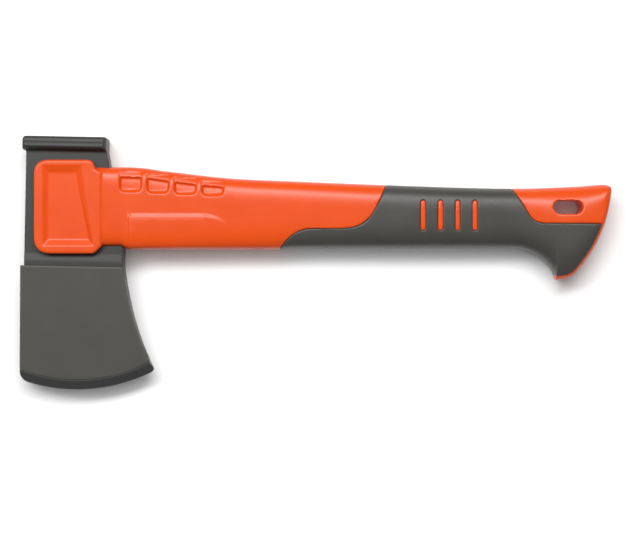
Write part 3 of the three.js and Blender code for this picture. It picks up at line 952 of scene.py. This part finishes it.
class HatchetColours(bpy.types.PropertyGroup):
    """Colours of the finishes."""

    handle: FloatVectorProperty(
        name="Handle", description="Colour of the moulded handle", subtype="COLOR",
        default=(0.9, 0.088, 0.004),
    )
    grip: FloatVectorProperty(
        name="Grip", description="Colour of the soft grip", subtype="COLOR", default=(0.062, 0.059, 0.053)
    )
    head: FloatVectorProperty(
        name="Head", description="Colour of the head's lacquer", subtype="COLOR", default=(0.04, 0.04, 0.038)
    )
    cover: FloatVectorProperty(
        name="Cover", description="Colour of the edge cover", subtype="COLOR", default=(0.083, 0.079, 0.071)
    )
    # The band's colour is darker than the cover's, painting the shade on the bevel along the cover's edge.
    band: FloatVectorProperty(
        name="Band", description="Colour of the cover's edge strip", subtype="COLOR",
        default=(0.044, 0.044, 0.044),
    )
    floor: FloatVectorProperty(
        name="Floor", description="Colour of the floor", subtype="COLOR", default=(0.9, 0.9, 0.9)
    )


class HatchetStage(bpy.types.PropertyGroup):
    """Camera and light."""

    camera_height: FloatProperty(
        name="Camera height", description="Camera above the tool's mid-plane", default=1.25, unit="LENGTH"
    )
    view_width: FloatProperty(
        name="View width", description="Width that the camera sees at the mid-plane",
        default=0.364, unit="LENGTH",
    )
    lamp_power: FloatProperty(name="Lamp", description="Power of the soft lamp", default=17.0, unit="POWER")
    floor_power: FloatProperty(
        name="Floor lamp", description="Power of the lamp that whitens the floor", default=22.0, unit="POWER"
    )
    sky: FloatProperty(name="Sky", description="Strength of the light from all round", default=0.22)


# ---------------------------------------------------------------- operators


class HATCHET_OT_head(bpy.types.Operator):
    """Forges the head, opens its window and grinds its edge"""

    bl_idname = "hatchet.head"
    bl_label = "Forged head"

    def execute(self, context):
        voxel = context.scene.hatchet_sizes.skin / MM
        head = cut(join(head_blank(), poll()), prism(WINDOW))
        head = cut(softened(head, voxel, 3), grindings())
        moved(head, lean())
        colours = context.scene.hatchet_colours
        finished(head, "forged_head", "steel_head", "axe", coated_steel(colours))
        return {"FINISHED"}


class HATCHET_OT_cover(bpy.types.Operator):
    """Moulds the edge cover and the strip along its edge"""

    bl_idname = "hatchet.cover"
    bl_label = "Edge cover"

    def execute(self, context):
        voxel = context.scene.hatchet_sizes.skin / MM
        colours = context.scene.hatchet_colours
        shell = keep(cover_blank(0), disc(COVER_RADIUS - BAND_DEPTH, FAR, 0))
        moved(softened(shell, voxel, 3), lean())
        look = moulded_plastic("cover_plastic", colours.cover, 0.5)
        finished(shell, "cover_body", "cover_shell", "edge_cover", look)
        band = cut(cover_blank(BAND_PROUD), disc(COVER_RADIUS - BAND_DEPTH - 0.1, FAR, 0))
        moved(softened(band, voxel * 0.8, 2), lean())
        # The strip's darker colour is painted shade on its bevel.
        look = moulded_plastic("band_plastic_painted_shade", colours.band, 0.4)
        finished(band, "cover_band", "cover_edge_strip", "edge_cover", look)
        return {"FINISHED"}


class HATCHET_OT_handle(bpy.types.Operator):
    """Moulds the handle through and around the head"""

    bl_idname = "hatchet.handle"
    bl_label = "Moulded handle"

    def execute(self, context):
        sizes = context.scene.hatchet_sizes
        depth = sizes.tray_depth / MM
        body = join(handle_body(), cheeks())
        cut(body, *pocket_surrounds(sizes), *pockets(sizes))
        cut(body, tray(1, depth), tray(-1, depth), prism(grip_outline()))
        join(body, handle_body(-GRIP_WALL))
        for outline in ribs(sizes):
            join(body, keep(handle_body(0.1, around=64), prism(outline)))
        cut(body, moved(head_blank(MOULD_GAP), lean()))
        key = keep(prism(moved_in(WINDOW, MOULD_GAP), -NECK_HALF - 1, NECK_HALF + 1))
        join(body, moved(key, lean()))
        cut(body, prism(round_ended(SLOT_X, SLOT_Y, SLOT_LENGTH, SLOT_WIDTH)))
        softened(body, sizes.skin / MM, 2)
        raise_panel(body, sizes)
        thinned(body, 0.42)
        look = orange_nylon(context.scene.hatchet_colours)
        finished(body, "moulded_handle", "handle_core", "axe", look)
        return {"FINISHED"}


class HATCHET_OT_grip(bpy.types.Operator):
    """Moulds the soft grip over the handle"""

    bl_idname = "hatchet.grip"
    bl_label = "Soft grip"

    def execute(self, context):
        sizes = context.scene.hatchet_sizes
        grip = cut(handle_body(), handle_body(MOULD_GAP - GRIP_WALL))
        keep(grip, prism(moved_in(grip_outline(), 0.1)))
        cut(grip, *(prism(outline) for outline in ribs(sizes)))
        softened(grip, sizes.skin / MM, 1)
        thinned(grip, 0.5)
        look = soft_rubber(context.scene.hatchet_colours)
        finished(grip, "grip_sleeve", "soft_grip", "axe", look)
        return {"FINISHED"}


def lamp(name, size, power, direction, distance):
    """A soft lamp that faces the tool from a direction."""
    data = bpy.data.lights.new(name, "AREA")
    data.shape = "RECTANGLE"
    data.size, data.size_y = size
    data.energy = power
    holder = bpy.data.objects.new(name, data)
    direction = Vector(direction).normalized()
    holder.location = direction * distance
    holder.rotation_euler = direction.to_track_quat("Z", "Y").to_euler()
    bpy.context.scene.collection.objects.link(holder)
    return holder


class HATCHET_OT_stage(bpy.types.Operator):
    """Lays the floor and sets up the lamp, sky and camera"""

    bl_idname = "hatchet.stage"
    bl_label = "Stage"

    def execute(self, context):
        scene = context.scene
        settings = scene.hatchet_stage
        made = bmesh.new()
        bmesh.ops.create_grid(made, x_segments=1, y_segments=1, size=4)
        floor = solid("floor", made)
        floor.data.materials.append(stage_floor(scene.hatchet_colours.floor))

        tilt = math.radians(25)
        lamp("soft_lamp", (1.6, 0.3), settings.lamp_power, (-0.12, math.sin(tilt), math.cos(tilt)), 1.3)
        lit = bpy.data.collections.new("floor_only")
        lit.objects.link(floor)
        for name, share, direction in (("side", 0.6, (-0.15, 0.45, 1)), ("overhead", 0.42, (0.12, 0.03, 1))):
            floor_lamp = lamp(f"floor_lamp_{name}", (1.6, 1.6), settings.floor_power * share, direction, 2.0)
            floor_lamp.light_linking.receiver_collection = lit

        world = bpy.data.worlds.new("studio")
        world.use_nodes = True
        sky = world.node_tree.nodes["Background"]
        sky.inputs["Color"].default_value = (1, 1, 1, 1)
        sky.inputs["Strength"].default_value = settings.sky
        scene.world = world

        camera = bpy.data.cameras.new("camera")
        camera.sensor_width = 36
        camera.lens = camera.sensor_width * settings.camera_height / settings.view_width
        eye = bpy.data.objects.new("camera", camera)
        middle = place() @ VIEW_CENTRE
        eye.location = middle + Vector((0, 0, settings.camera_height))
        scene.collection.objects.link(eye)
        scene.camera = eye
        scene.view_settings.view_transform = "Standard"
        return {"FINISHED"}


OPERATORS = (HATCHET_OT_head, HATCHET_OT_cover, HATCHET_OT_handle, HATCHET_OT_grip, HATCHET_OT_stage)


class HATCHET_PT_maker(bpy.types.Panel):
    """Lists the hatchet's pieces and their settings"""

    bl_idname = "HATCHET_PT_maker"
    bl_label = "Hatchet"
    bl_space_type = "VIEW_3D"
    bl_region_type = "UI"
    bl_category = "Hatchet"

    def draw(self, context):
        for operator in OPERATORS:
            self.layout.operator(operator.bl_idname)
        scene = context.scene
        for group in (scene.hatchet_sizes, scene.hatchet_colours, scene.hatchet_stage):
            box_row = self.layout.box()
            for name in group.bl_rna.properties.keys():
                if name not in ("rna_type", "name"):
                    box_row.prop(group, name)


CLASSES = (HatchetSizes, HatchetColours, HatchetStage, *OPERATORS, HATCHET_PT_maker)


def register():
    for made in CLASSES:
        bpy.utils.register_class(made)
    bpy.types.Scene.hatchet_sizes = PointerProperty(type=HatchetSizes)
    bpy.types.Scene.hatchet_colours = PointerProperty(type=HatchetColours)
    bpy.types.Scene.hatchet_stage = PointerProperty(type=HatchetStage)


def unregister():
    del bpy.types.Scene.hatchet_stage
    del bpy.types.Scene.hatchet_colours
    del bpy.types.Scene.hatchet_sizes
    for made in reversed(CLASSES):
        bpy.utils.unregister_class(made)


def main():
    register()
    bpy.ops.hatchet.head()
    bpy.ops.hatchet.cover()
    bpy.ops.hatchet.handle()
    bpy.ops.hatchet.grip()
    bpy.ops.hatchet.stage()


if __name__ == "__main__":
    main()
